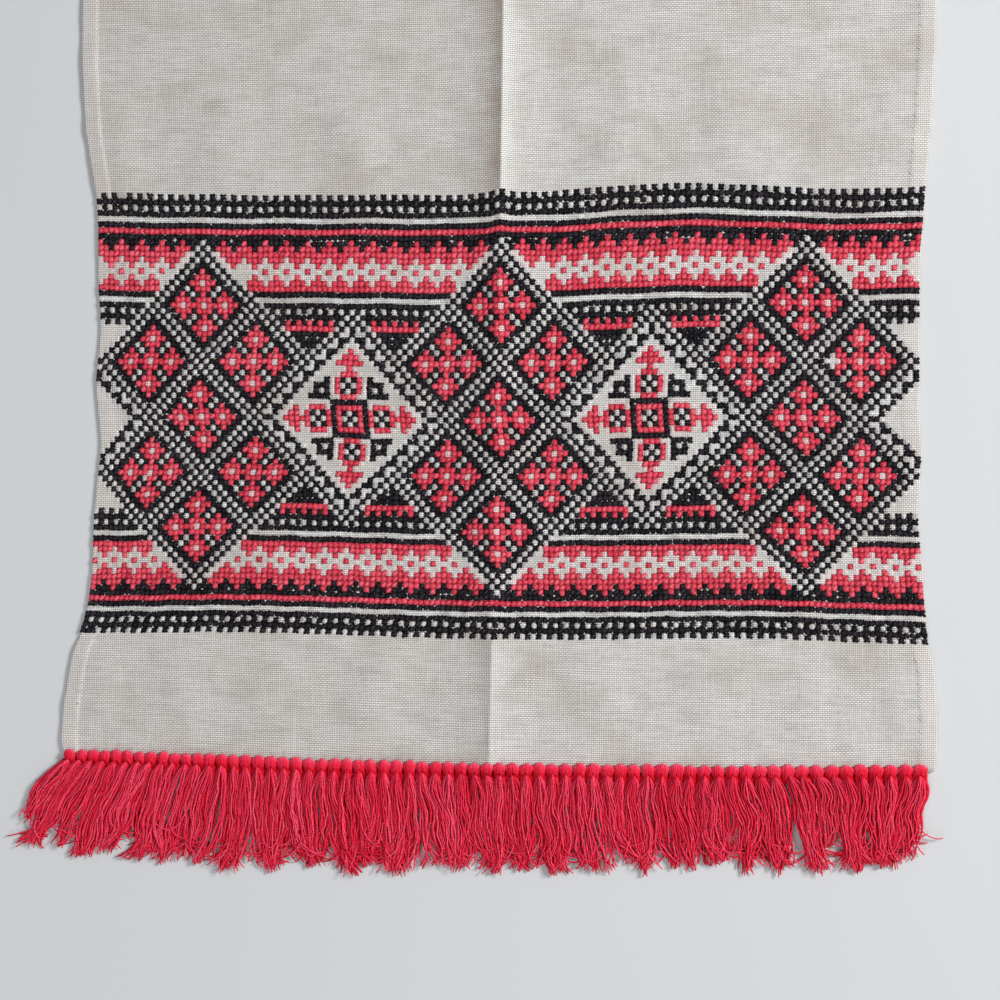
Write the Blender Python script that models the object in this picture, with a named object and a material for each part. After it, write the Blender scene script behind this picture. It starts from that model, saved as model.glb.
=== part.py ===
"""A rushnyk: a long, narrow ritual towel of linen, lying flat with its fringed end towards -Y.

Two pieces: the linen cloth with its turned hems, and the row of knotted tassels along its end.
Shapes are worked out in the towel's own plan, whose origin is the middle of the embroidered band,
with +X across and +Y along the cloth. The last step moves both pieces so that the middle of
their bounding box's bottom is at the origin. All lengths are metres.
"""
import math
import random

import bmesh
import bpy

MM = 0.001
GAP = 0.35 * MM

# The cloth
END_ROW_Y = -141.5 * MM
END_EASE = 40 * MM
FAR_END_Y = 817 * MM
LINEN_THICK = 1.0 * MM
HEM_THICK = 0.8 * MM
SIDE_HEM_WIDTH = 6.5 * MM
END_HEM_WIDTH = 10 * MM
BAND_HALF_LENGTH = 90.7 * MM
BAND_THICK = 0.5 * MM
STEP_RUN = 0.8 * MM

# The fold pressed in when the towel is stored doubled along its length
CREASE_HALF_WIDTH = 26 * MM
CREASE_HEIGHT = 4.0 * MM

# The fringe
KNOTS = 66
LOCKS_PER_KNOT = 3
FIRST_KNOT_X = -174.0 * MM
FIRST_PITCH = 4.93 * MM
LAST_PITCH = 5.66 * MM
PITCH_STRAY = 0.35 * MM
HEAD_LENGTH = 6.0 * MM
HEAD_HEIGHT = 3.2 * MM
HEAD_SHOULDER = 0.62
VALLEY_CROWN = 0.55
VALLEY_SHOULDER = 0.45
VALLEY_BACK = 0.5 * MM
VALLEY_FRONT = 1.2 * MM
LOCK_LENGTH = 36 * MM
LOCK_LONGER = 2.0 * MM
LOCK_SHORTER = 2.5 * MM
LOCK_STRAY = 0.5 * MM
FRINGE_SEED = 7

# The side edges in plan, in mm: how far along the cloth, and where its left and right edges lie
OUTLINE = [
    # y, left, right
    (-143, -176.6, 173.2),
    (-135, -178.4, 174.2),
    (-122, -177.9, 174.6),
    (-108, -176.1, 173.9),
    (-98, -174.3, 173.1),
    (-90, -171.2, 171.0),
    (-76, -168.2, 169.9),
    (-58, -167.2, 168.8),
    (-40, -166.8, 167.2),
    (-26, -165.9, 167.8),
    (-12, -164.9, 168.5),
    (0, -166.1, 167.4),
    (14, -167.4, 167.7),
    (36, -166.0, 167.8),
    (58, -167.5, 167.7),
    (78, -168.3, 169.2),
    (92, -169.4, 169.9),
    (106, -172.0, 171.1),
    (121, -174.5, 172.2),
    (160, -176.8, 174.0),
    (260, -175.6, 174.9),
    (380, -176.9, 173.8),
    (500, -175.8, 174.8),
    (640, -176.7, 174.1),
    (740, -175.6, 175.0),
    (817, -176.4, 174.2),
]

# The fringed end's edge in plan, in mm
END_EDGE = [
    # x, y
    (-178, -141.0),
    (-120, -142.3),
    (-64, -142.9),
    (0, -142.4),
    (58, -141.9),
    (120, -140.9),
    (175, -139.4),
]

# The long crease, in mm: where it runs, and its height as a share of CREASE_HEIGHT
CREASE = [
    # y, x, height
    (-143, -1.5, 0.75),
    (-90, -1.0, 0.80),
    (0, -0.6, 0.85),
    (95, -0.6, 1.00),
    (220, 0.4, 0.90),
    (420, -0.8, 1.00),
    (640, 0.6, 0.85),
    (817, 0.0, 0.70),
]

# Soft puckers in the plain linen, in mm, where the close stitching draws the cloth in
PUCKERS = [
    # x, y, degrees from +Y, half length, half width, height
    (-163, -112, 8, 24, 13, 1.3),
    (-128, -110, -12, 22, 15, 1.1),
    (-92, -116, 14, 24, 16, 0.9),
    (-48, -110, 24, 26, 15, 1.4),
    (42, -112, -16, 24, 16, 1.0),
    (88, -108, 12, 20, 15, 1.1),
    (126, -114, -10, 26, 16, 0.9),
    (162, -112, -8, 24, 12, 1.3),
    (-160, 112, -6, 30, 13, 1.3),
    (-116, 116, 10, 34, 17, 1.2),
    (-62, 114, -14, 32, 17, 1.3),
    (48, 112, 12, 30, 16, 1.1),
    (96, 116, -8, 36, 18, 1.3),
    (158, 114, 8, 30, 13, 1.2),
    (-104, 300, 62, 60, 26, 1.6),
    (96, 420, -58, 64, 28, 1.7),
    (-92, 590, -66, 60, 26, 1.5),
    (104, 690, 60, 52, 24, 1.4),
]

# The rows of points along the cloth, in mm
ROW_RUNS = [
    # from, to, steps
    (-141.5, -92, 5),
    (-90.7, 90.7, 14),
    (92, 160, 5),
    (160, 806.2, 14),
    (807, 817, 1),
]

# Columns of points from the middle to the inner side of a hem, as a share of that width
COLUMN_SHARES = (0.0, 0.018, 0.05, 0.095, 0.155, 0.25, 0.35, 0.45, 0.56, 0.67, 0.78, 0.89, 1.0)

# How far the fringe leans sideways over its length, in mm
LEAN = [
    # x at the knot, shift at the tips
    (-178, -17.0),
    (-150, -14.0),
    (-126, -9.0),
    (-113, -4.5),
    (-104, -1.0),
    (-50, -0.5),
    (0, 0.6),
    (60, 0.0),
    (104, 2.6),
    (130, 2.0),
    (150, -0.5),
    (175, -3.0),
]

# Where neighbouring tassels part at their tips, in mm
PARTINGS = [
    # x at the knot, width
    (-111, 2.4),
    (-52, 0.9),
    (18, 1.6),
    (86, 1.0),
    (119, 2.2),
    (133, 2.6),
    (144, 2.8),
    (160, 1.6),
]
PARTING_REACH = 9 * MM

# The rings of a lock past its root
LOCK_RINGS = [
    # share of the length, width, height, in mm
    (0.24, 1.30, 1.7),
    (0.62, 1.15, 1.4),
    (1.00, 0.80, 0.9),
]


def smooth_read(table, at, column=1):
    """Reads a column of a table in mm at a place in metres, on a smooth curve through its rows."""
    place = at / MM
    keys = [row[0] for row in table]
    last = len(keys) - 1
    if place <= keys[0]:
        return table[0][column]
    if place >= keys[last]:
        return table[last][column]
    i = max(k for k in range(last) if keys[k] <= place)
    span = keys[i + 1] - keys[i]
    share = (place - keys[i]) / span
    value, following = table[i][column], table[i + 1][column]

    def slope(k):
        before, after = max(k - 1, 0), min(k + 1, last)
        return (table[after][column] - table[before][column]) / (keys[after] - keys[before])

    a, b = slope(i) * span, slope(i + 1) * span
    rise = following - value
    return value + share * (a + share * (3 * rise - 2 * a - b + share * (a + b - 2 * rise)))


def bump(distance):
    """A rounded hill, 1 in the middle and exactly 0 from a distance of 1."""
    return max(0.0, 1 - distance * distance) ** 2


def lift(x, y):
    """How high the cloth's underside stands above the surface it lies on."""
    off_crease = abs(x - smooth_read(CREASE, y) * MM) / CREASE_HALF_WIDTH
    height = CREASE_HEIGHT * smooth_read(CREASE, y, 2) * max(0.0, 1 - off_crease) ** 2
    for px, py, degrees, half_length, half_width, rise in PUCKERS:
        turn = math.radians(degrees)
        dx, dy = x - px * MM, y - py * MM
        along = (dx * math.sin(turn) + dy * math.cos(turn)) / (half_length * MM)
        across = (dx * math.cos(turn) - dy * math.sin(turn)) / (half_width * MM)
        height += rise * MM * bump(along) * bump(across)
    return height


def end_edge(x):
    return smooth_read(END_EDGE, x) * MM


def linen_rows():
    """How far along the cloth each row of points lies."""
    rows = []
    for start, end, steps in ROW_RUNS:
        rows += [(start + (end - start) * i / steps) * MM for i in range(steps + 1)]
    return sorted(set(rows))


def linen_columns(left, right):
    """Where each column of points crosses a row: the hems keep their width, the rest stretches."""
    inner_left, inner_right = left + SIDE_HEM_WIDTH, right - SIDE_HEM_WIDTH
    middle = (left + right) / 2
    sides = COLUMN_SHARES[1:]
    columns = [left, inner_left - STEP_RUN]
    columns += [middle + (inner_left - middle) * share for share in reversed(sides)]
    columns += [middle]
    columns += [middle + (inner_right - middle) * share for share in sides]
    return columns + [inner_right + STEP_RUN, right]


def linen_thickness(column, columns, y):
    """Thicker in the turned hems and under the stitched band."""
    in_side_hem = column < 2 or column > columns - 3
    in_end_hem = y > FAR_END_Y - END_HEM_WIDTH - 0.5 * STEP_RUN
    in_band = abs(y) <= BAND_HALF_LENGTH
    return LINEN_THICK + HEM_THICK * (in_side_hem or in_end_hem) + BAND_THICK * in_band


def linen_cloth():
    """The cloth: an upper and a lower grid of points, joined around the rim."""
    mesh = bmesh.new()
    grids = ([], [])
    for y in linen_rows():
        left = smooth_read(OUTLINE, y, 1) * MM
        right = smooth_read(OUTLINE, y, 2) * MM
        columns = linen_columns(left, right)
        near_end = bump((y - END_ROW_Y) / END_EASE)
        upper, lower = [], []
        for i, x in enumerate(columns):
            along = y + (end_edge(x) - END_ROW_Y) * near_end
            rest = lift(x, along)
            lower.append(mesh.verts.new((x, along, rest)))
            upper.append(mesh.verts.new((x, along, rest + linen_thickness(i, len(columns), y))))
        grids[0].append(lower)
        grids[1].append(upper)
    lower, upper = grids
    rows, columns = len(lower), len(lower[0])
    for r in range(rows - 1):
        for c in range(columns - 1):
            mesh.faces.new((upper[r][c], upper[r][c + 1], upper[r + 1][c + 1], upper[r + 1][c]))
            mesh.faces.new((lower[r][c], lower[r + 1][c], lower[r + 1][c + 1], lower[r][c + 1]))
    for r in range(rows - 1):
        for c, ahead in ((0, 1), (columns - 1, -1)):
            ring = [lower[r][c], upper[r][c], upper[r + 1][c], lower[r + 1][c]]
            mesh.faces.new(ring[::ahead])
    for c in range(columns - 1):
        for r, ahead in ((0, -1), (rows - 1, 1)):
            ring = [lower[r][c], upper[r][c], upper[r][c + 1], lower[r][c + 1]]
            mesh.faces.new(ring[::ahead])
    return mesh


def knot_edges():
    """Where one knot ends and the next begins, across the fringed end."""
    pick = random.Random(FRINGE_SEED)
    edges = [FIRST_KNOT_X - FIRST_PITCH / 2]
    for k in range(KNOTS):
        pitch = FIRST_PITCH + (LAST_PITCH - FIRST_PITCH) * k / (KNOTS - 1)
        edges.append(edges[-1] + pitch + pick.uniform(-PITCH_STRAY, PITCH_STRAY))
    return edges


def lock_bounds(edges):
    """The sides of every lock's root: each knot's width in equal shares."""
    bounds = [edges[0]]
    for left, right in zip(edges, edges[1:]):
        share = (right - left) / LOCKS_PER_KNOT
        bounds += [left + share * (i + 1) for i in range(LOCKS_PER_KNOT)]
    return bounds


def head_profile(x, on_edge):
    """A cut through the row of heads: low between two knots, and full within one."""
    back = end_edge(x) - GAP - VALLEY_BACK * on_edge
    front = end_edge(x) - HEAD_LENGTH + VALLEY_FRONT * on_edge
    crown = HEAD_HEIGHT * (VALLEY_CROWN if on_edge else 1)
    shoulder = HEAD_HEIGHT * (VALLEY_SHOULDER if on_edge else HEAD_SHOULDER)
    return [
        (x, back, 0),
        (x, back, shoulder),
        (x, (back + front) / 2, crown),
        (x, front, shoulder),
        (x, front, 0),
    ]


def parted(x, share):
    """A lock's shift away from each parting beside it."""
    shift = 0
    for place, width in PARTINGS:
        off = x - place * MM
        shift += math.copysign(width * MM / 2, off) * math.exp(-abs(off) / PARTING_REACH)
    return shift * share ** 1.5


def lock_centres(roots, share, width, pick):
    """Where the locks cross one ring, kept in order and clear of each other."""
    places = []
    for x in roots:
        stray = pick.uniform(-LOCK_STRAY, LOCK_STRAY) * share
        places.append(x + smooth_read(LEAN, x) * MM * share ** 1.3 + parted(x, share) + stray)
    clear = width + GAP
    middle = len(places) // 2
    for i in range(middle, len(places) - 1):
        places[i + 1] = max(places[i + 1], places[i] + clear)
    for i in range(middle, 0, -1):
        places[i - 1] = min(places[i - 1], places[i] - clear)
    return places


def knotted_fringe():
    """The tassels' heads as one strip along the cloth's end, and the locks that leave its front."""
    bounds = lock_bounds(knot_edges())
    mesh = bmesh.new()
    cuts = []
    for i, x in enumerate(bounds):
        profile = head_profile(x, on_edge=i % LOCKS_PER_KNOT == 0)
        cuts.append([mesh.verts.new(point) for point in profile])
    mesh.faces.new(cuts[0])
    mesh.faces.new(reversed(cuts[-1]))
    for near, far in zip(cuts, cuts[1:]):
        for a, b in ((0, 1), (1, 2), (2, 3), (4, 0)):
            mesh.faces.new((near[b], near[a], far[a], far[b]))

    pick = random.Random(FRINGE_SEED + 1)
    roots = [(a + b) / 2 for a, b in zip(bounds, bounds[1:])]
    lengths = [LOCK_LENGTH + pick.uniform(-LOCK_SHORTER, LOCK_LONGER) for _ in roots]
    rings = [[(near[3], far[3], far[4], near[4]) for near, far in zip(cuts, cuts[1:])]]
    for share, width, height in LOCK_RINGS:
        ring = []
        for i, x in enumerate(lock_centres(roots, share, width * MM, pick)):
            y = end_edge(roots[i]) - HEAD_LENGTH - lengths[i] * share
            top = height * MM * pick.uniform(0.85, 1.15)
            half = width * MM / 2
            corners = ((x - half, y, top), (x + half, y, top), (x + half, y, 0), (x - half, y, 0))
            ring.append(tuple(mesh.verts.new(corner) for corner in corners))
        rings.append(ring)
    for near_ring, far_ring in zip(rings, rings[1:]):
        for near, far in zip(near_ring, far_ring):
            for a, b in ((0, 1), (1, 2), (2, 3), (3, 0)):
                mesh.faces.new((near[a], near[b], far[b], far[a]))
    for tip in rings[-1]:
        mesh.faces.new(tip)
    return mesh


def material(name, colour, roughness):
    made = bpy.data.materials.new(name)
    made.use_nodes = True
    shader = made.node_tree.nodes["Principled BSDF"]
    shader.inputs["Base Color"].default_value = (*colour, 1)
    shader.inputs["Roughness"].default_value = roughness
    shader.inputs["Metallic"].default_value = 0
    return made


def add_piece(name, mesh, finish):
    bmesh.ops.recalc_face_normals(mesh, faces=mesh.faces)
    data = bpy.data.meshes.new(name)
    mesh.to_mesh(data)
    mesh.free()
    data.materials.append(finish)
    piece = bpy.data.objects.new(name, data)
    bpy.context.scene.collection.objects.link(piece)
    return piece


def move_to_origin(pieces):
    """Puts the middle of the bottom of the pieces' common box at the origin."""
    points = [v.co for piece in pieces for v in piece.data.vertices]
    low = [min(p[i] for p in points) for i in range(3)]
    high = [max(p[i] for p in points) for i in range(3)]
    shift = (-(low[0] + high[0]) / 2, -(low[1] + high[1]) / 2, -low[2])
    for piece in pieces:
        for v in piece.data.vertices:
            v.co = [v.co[i] + shift[i] for i in range(3)]


def build():
    for old in list(bpy.context.scene.objects):
        bpy.data.objects.remove(old, do_unlink=True)
    linen = material("linen", (0.60, 0.57, 0.51), 0.9)
    yarn = material("fringe_yarn", (0.70, 0.04, 0.08), 0.85)
    cloth = add_piece("linen_cloth", linen_cloth(), linen)
    fringe = add_piece("knotted_fringe", knotted_fringe(), yarn)
    move_to_origin([cloth, fringe])


build()
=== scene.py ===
"""The looks of a rushnyk, a linen ritual towel with a cross-stitched band and a knotted fringe.

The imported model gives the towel's place. Shapes are worked out in the towel's plan, in mm: its
origin is the middle of the embroidered band, with x across and y along the cloth, as in the model.
"""

import math
import random

import bpy
import numpy as np
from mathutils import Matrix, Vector


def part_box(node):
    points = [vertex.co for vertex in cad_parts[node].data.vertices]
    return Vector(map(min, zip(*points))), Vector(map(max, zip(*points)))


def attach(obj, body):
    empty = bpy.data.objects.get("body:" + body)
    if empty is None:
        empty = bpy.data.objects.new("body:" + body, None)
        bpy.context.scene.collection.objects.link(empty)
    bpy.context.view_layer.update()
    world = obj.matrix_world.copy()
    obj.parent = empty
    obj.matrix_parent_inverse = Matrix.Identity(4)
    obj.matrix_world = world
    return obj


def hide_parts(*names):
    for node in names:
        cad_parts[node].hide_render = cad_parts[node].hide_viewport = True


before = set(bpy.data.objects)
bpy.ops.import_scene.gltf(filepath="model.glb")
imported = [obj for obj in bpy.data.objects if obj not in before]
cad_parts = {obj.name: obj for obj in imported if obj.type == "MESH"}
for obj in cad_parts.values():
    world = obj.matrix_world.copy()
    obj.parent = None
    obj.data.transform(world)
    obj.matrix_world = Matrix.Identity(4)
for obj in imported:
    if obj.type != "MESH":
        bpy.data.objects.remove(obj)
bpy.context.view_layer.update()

MM = 0.001
TURN = 2 * math.pi

# The cloth, in mm
END_ROW_Y = -141.5
END_EASE = 40
FAR_END_Y = 817
LINEN_LOW = 0.1
LINEN_THICK = 0.8
HEM_RISE = 0.65
SIDE_HEM_WIDTH = 6.5
END_HEM_WIDTH = 10
HEM_RAMP = 1.3
RIGHT_HEM_RAMP = 3.2
HEM_WAVE = 0.45
BAND_HALF_LENGTH = 90.7
BAND_END_EASE = 6
BAND_HEM_RISE = 0.35
BAND_HEM_RAMP = 3.0
FOLD_RADIUS = 0.6
FOLD_UNDERCUT = 0.35
HEM_TINT_EASE = 2

# The crease, in mm
CREASE_HALF_WIDTH = 26
CREASE_HEIGHT = 4.0
CREST_HALF_WIDTH = 5.5
CREST_HEIGHT = 0.7
CREST_EASE = 10
CREST_ROWS = 14
CREST_ROW_PEAK = 1.3

# The chart of crosses
FIRST_COLUMN, LAST_COLUMN = -20, 132
COLUMNS = LAST_COLUMN - FIRST_COLUMN + 1
ROWS = 79
MIDDLE_ROW = 40
APEXES = (0, 56, 112)
ROSETTES = (-28, 28, 84, 140)
WHOLE_ROSETTES = (28, 84)
ROW_PITCH = 2.296
EDGE_MARGIN = 0.35
STITCH_WOBBLE = 0.16

# The fringe, in mm
KNOTS = 66
FIRST_KNOT_X = -174.0
FIRST_PITCH = 4.93
LAST_PITCH = 5.66
PITCH_STRAY = 0.35
FRINGE_SEED = 7
YARNS_PER_KNOT = 26
YARN_RADIUS = 0.32
HEAD_YARN_RADIUS = 0.55
TASSEL_START = 0.8
STRAY_FALL = 39.0
STRAYS = 14

# The knot pitch, in mm, that the shapes of heads and tassels are given for
SHAPE_PITCH = 5.0

# The side edges in plan: how far along the cloth, and where its left and right edges lie
OUTLINE = [
    # y, left, right
    (-143, -176.6, 173.2),
    (-135, -178.4, 174.2),
    (-122, -177.9, 174.6),
    (-108, -176.1, 173.9),
    (-98, -174.3, 173.1),
    (-90, -171.2, 171.0),
    (-76, -168.2, 169.9),
    (-58, -167.2, 168.8),
    (-40, -166.8, 167.2),
    (-26, -165.9, 167.8),
    (-12, -164.9, 168.5),
    (0, -166.1, 167.4),
    (14, -167.4, 167.7),
    (36, -166.0, 167.8),
    (58, -167.5, 167.7),
    (78, -168.3, 169.2),
    (92, -169.4, 169.9),
    (106, -172.0, 171.1),
    (121, -174.5, 172.2),
    (160, -176.8, 174.0),
    (260, -175.6, 174.9),
    (380, -176.9, 173.8),
    (500, -175.8, 174.8),
    (640, -176.7, 174.1),
    (740, -175.6, 175.0),
    (817, -176.4, 174.2),
]

# The fringed end's edge in plan
END_EDGE = [
    # x, y
    (-178, -140.6),
    (-120, -141.3),
    (-64, -142.4),
    (0, -142.4),
    (58, -141.9),
    (120, -140.9),
    (175, -139.4),
]

# The long crease: where it runs, and its height as a share of CREASE_HEIGHT
CREASE = [
    # y, x, height
    (-143, -1.5, 0.75),
    (-90, -1.0, 0.80),
    (0, -0.6, 0.85),
    (95, 0.4, 1.00),
    (220, 0.4, 0.90),
    (420, -0.8, 1.00),
    (640, 0.6, 0.85),
    (817, 0.0, 0.70),
]

# Soft puckers in the plain linen, where the close stitching draws the cloth in
PUCKERS = [
    # x, y, degrees from +Y, half length, half width, height
    (-163, -112, 8, 24, 13, 1.3),
    (-128, -110, -12, 22, 15, 1.1),
    (-92, -116, 14, 24, 16, 0.9),
    (-48, -110, 24, 26, 15, 1.4),
    (42, -112, -16, 24, 16, 1.0),
    (88, -108, 12, 20, 15, 1.1),
    (126, -114, -10, 26, 16, 0.9),
    (162, -112, -8, 24, 12, 1.3),
    (-160, 112, -6, 30, 13, 1.3),
    (-116, 116, 10, 34, 17, 1.2),
    (-62, 114, -14, 32, 17, 1.3),
    (48, 112, 12, 30, 16, 1.1),
    (96, 116, -8, 36, 18, 1.3),
    (158, 114, 8, 30, 13, 1.2),
    (-104, 300, 62, 60, 26, 1.6),
    (96, 420, -58, 64, 28, 1.7),
    (-92, 590, -66, 60, 26, 1.5),
    (104, 690, 60, 52, 24, 1.4),
]

# How far the stitched rows lie above even spacing, in mm, at five rows
SHIFT_ROWS = (1, 20, 40, 60, 79)
ROW_SHIFT = [
    # column, row 1, row 20, row 40, row 60, row 79
    (-20.5, 1.7, -0.3, -1.2, -0.9, 0.5),
    (-8, 1.0, -0.6, -1.1, -0.5, 0.9),
    (6, 0.3, -0.8, -0.8, 0.1, 1.7),
    (20, -0.1, -1.2, -1.3, -0.3, 1.6),
    (32, -0.2, -1.5, -1.7, -0.7, 1.1),
    (44, -0.5, -1.9, -2.1, -1.2, 0.6),
    (52, -0.4, -1.8, -2.2, -1.3, 0.5),
    (60, 0.2, -1.4, -1.9, -1.2, 0.6),
    (68, 1.0, -1.0, -1.7, -1.0, 0.7),
    (80, 2.8, 0.1, -1.0, -0.6, 1.3),
    (92, 3.3, 0.6, -0.5, 0.0, 2.0),
    (106, 1.7, 0.0, -0.5, 0.3, 2.3),
    (120, 0.4, -0.7, -0.9, -0.1, 1.4),
    (132.5, 1.2, -0.5, -1.0, -0.4, 0.8),
]

# How far the stitched columns lie to the right of even spacing, in mm, at the same rows
COLUMN_SHIFT = [
    # column, row 1, row 20, row 40, row 60, row 79
    (-20.5, 0.2, 0.0, 0.0, 0.0, -0.2),
    (-8, -0.3, -0.6, -1.1, -1.4, -1.6),
    (6, -0.5, -0.8, -1.1, -1.4, -1.5),
    (20, -0.3, -0.4, -0.6, -0.8, -1.1),
    (32, 0.3, 0.1, -0.2, -0.5, -0.8),
    (44, 0.9, 0.5, 0.1, -0.1, -0.3),
    (52, 1.1, 0.7, 0.3, 0.1, 0.1),
    (60, 0.4, 0.3, 0.1, 0.1, 0.0),
    (68, -0.3, -0.2, -0.2, -0.3, -0.5),
    (80, 0.0, -0.2, -0.4, -0.7, -1.0),
    (92, 0.6, 0.2, -0.3, -0.7, -1.0),
    (106, 0.5, 0.2, -0.2, -0.6, -1.0),
    (120, 0.4, 0.3, 0.1, -0.1, -0.1),
    (132.5, 0.1, 0.0, 0.0, 0.0, 0.1),
]

# The locks that neighbouring tassels gather into, from left to right
LOCKS = [
    # first knot, last knot, tips from x, to x, y at the tips, how early it narrows
    (0, 0, -193.5, -189.0, -167.0, 0.0),
    (1, 2, -192.0, -186.0, -177.5, 0.0),
    (3, 3, -184.5, -173.0, -176.5, 0.0),
    (4, 5, -175.5, -165.0, -181.5, 0.0),
    (6, 7, -162.0, -153.0, -178.5, 0.0),
    (8, 9, -151.5, -141.0, -182.0, 0.0),
    (10, 11, -139.5, -130.0, -183.0, 0.0),
    (12, 13, -128.5, -114.5, -183.0, 0.0),
    (14, 15, -111.0, -101.0, -186.0, 0.1),
    (16, 18, -97.0, -83.0, -184.0, 0.0),
    (19, 21, -82.0, -65.5, -182.0, 0.0),
    (22, 23, -65.0, -54.0, -185.0, 0.0),
    (24, 25, -53.5, -49.0, -182.0, 0.0),
    (26, 28, -48.5, -30.0, -184.5, 0.0),
    (29, 29, -29.0, -21.0, -181.5, 0.0),
    (30, 32, -19.5, -7.5, -181.5, 0.2),
    (33, 35, -3.5, 6.0, -183.5, 0.0),
    (36, 37, 8.0, 16.0, -182.5, 0.2),
    (38, 40, 19.5, 31.0, -182.5, 0.0),
    (41, 42, 32.5, 48.5, -182.0, 0.0),
    (43, 44, 49.5, 56.0, -177.5, 0.0),
    (45, 46, 56.5, 65.5, -181.0, 0.0),
    (47, 47, 67.0, 75.5, -180.0, 0.0),
    (48, 49, 76.5, 83.5, -179.5, 0.0),
    (50, 51, 85.0, 96.5, -178.0, 0.3),
    (52, 53, 97.5, 107.0, -179.5, 0.4),
    (54, 55, 107.0, 118.0, -179.5, 0.9),
    (56, 57, 124.0, 131.5, -180.0, 0.8),
    (58, 58, 131.5, 138.0, -169.0, 1.0),
    (59, 61, 140.0, 148.0, -178.5, 0.9),
    (62, 64, 149.5, 161.5, -176.5, 0.3),
    (65, 65, 161.5, 167.5, -173.5, 0.8),
]

# The towel's plan in the model's frame: the far end's row and the widest places fix it
cloth_low, cloth_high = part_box("linen_cloth")
WIDEST_LEFT = min(row[1] for row in OUTLINE)
WIDEST_RIGHT = max(row[2] for row in OUTLINE)
PLAN_X = (cloth_low[0] + cloth_high[0]) / 2 - (WIDEST_LEFT + WIDEST_RIGHT) / 2 * MM
PLAN_Y = cloth_high[1] - FAR_END_Y * MM


def curve_reader(table, column=1):
    """A smooth curve through a table's rows, read at any array of places."""
    keys = np.array([row[0] for row in table], float)
    values = np.array([row[column] for row in table], float)
    last = len(keys) - 1
    before = np.clip(np.arange(last + 1) - 1, 0, last)
    after = np.clip(np.arange(last + 1) + 1, 0, last)
    slopes = (values[after] - values[before]) / (keys[after] - keys[before])

    def read(place):
        place = np.clip(place, keys[0], keys[-1])
        i = np.clip(np.searchsorted(keys, place, side="right") - 1, 0, last - 1)
        span = keys[i + 1] - keys[i]
        t = (place - keys[i]) / span
        a, b = slopes[i] * span, slopes[i + 1] * span
        rise = values[i + 1] - values[i]
        return values[i] + t * (a + t * (3 * rise - 2 * a - b + t * (a + b - 2 * rise)))

    return read


left_edge = curve_reader(OUTLINE, 1)
right_edge = curve_reader(OUTLINE, 2)
end_edge = curve_reader(END_EDGE)
crease_x = curve_reader(CREASE, 1)
crease_share = curve_reader(CREASE, 2)
row_shifts = [curve_reader(ROW_SHIFT, k + 1) for k in range(len(SHIFT_ROWS))]
column_shifts = [curve_reader(COLUMN_SHIFT, k + 1) for k in range(len(SHIFT_ROWS))]


def bump(distance):
    return np.maximum(0.0, 1 - distance * distance) ** 2


def lift(x, y):
    """How high the cloth's underside stands above the surface, as on the solid."""
    off_crease = np.abs(x - crease_x(y)) / CREASE_HALF_WIDTH
    height = CREASE_HEIGHT * crease_share(y) * np.maximum(0.0, 1 - off_crease) ** 2
    for px, py, degrees, half_length, half_width, rise in PUCKERS:
        turn = math.radians(degrees)
        dx, dy = x - px, y - py
        along = (dx * math.sin(turn) + dy * math.cos(turn)) / half_length
        across = (dx * math.cos(turn) - dy * math.sin(turn)) / half_width
        height = height + rise * bump(along) * bump(across)
    return height


def ease(value):
    value = np.clip(value, 0, 1)
    return value * value * (3 - 2 * value)


def hem_rise(x, y):
    """The second layer of the turned hems, pressed flat where the band is stitched through it."""
    inside = np.minimum(x - left_edge(y), right_edge(y) - x)
    in_band = ease((BAND_HALF_LENGTH - np.abs(y)) / BAND_END_EASE + 0.5)
    ramp = np.where(x > 0, RIGHT_HEM_RAMP, HEM_RAMP)
    ramp = ramp + (BAND_HEM_RAMP - ramp) * in_band
    rise = HEM_RISE + (BAND_HEM_RISE - HEM_RISE) * in_band
    waves = 1 + (1 - in_band) * HEM_WAVE * np.sin(y / 2.9 + 1.7 * np.sin(y / 17)) * np.sin(y / 11)
    side = (1 - ease((inside - SIDE_HEM_WIDTH) / ramp + 0.5)) * waves
    end = ease((y - (FAR_END_Y - END_HEM_WIDTH)) / HEM_RAMP + 0.5)
    return rise * np.maximum(side, end)


def crest(x, y):
    """The sharp ridge along the crease, flattened where the band is stitched."""
    off = np.clip(np.abs(x - crease_x(y)) / CREST_HALF_WIDTH, 0, 1)
    plain = ease((np.abs(y) - BAND_HALF_LENGTH) / CREST_EASE + 0.4)
    return CREST_HEIGHT * crease_share(y) * (1 - off) ** 2 * plain


def cloth_top(x, y):
    return lift(x, y) + LINEN_LOW + LINEN_THICK + hem_rise(x, y) + crest(x, y)


def to_model(points):
    """Plan millimetres to the model's metres."""
    points = np.asarray(points, float)
    return points * MM + np.array([PLAN_X, PLAN_Y, 0.0])


def placed(name, data):
    made = bpy.data.objects.new(name, data)
    bpy.context.scene.collection.objects.link(made)
    return made


def make_object(name, points, faces, finish, attributes):
    """A mesh object from plan points, with point attributes."""
    mesh = bpy.data.meshes.new(name)
    mesh.from_pydata(to_model(points).tolist(), [], [tuple(f) for f in faces])
    for key, values in attributes.items():
        values = np.asarray(values, np.float32)
        kind, field = ("FLOAT_VECTOR", "vector") if values.ndim == 2 else ("FLOAT", "value")
        mesh.attributes.new(key, kind, "POINT").data.foreach_set(field, values.ravel())
    mesh.shade_smooth()
    mesh.materials.append(finish)
    mesh.update()
    return placed(name, mesh)


def grid_faces(rows, columns, start=0, flip=False):
    index = np.arange(rows * columns).reshape(rows, columns) + start
    faces = np.stack(
        [index[:-1, :-1], index[:-1, 1:], index[1:, 1:], index[1:, :-1]], axis=-1
    ).reshape(-1, 4)
    return (faces[:, ::-1] if flip else faces).tolist()


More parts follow.
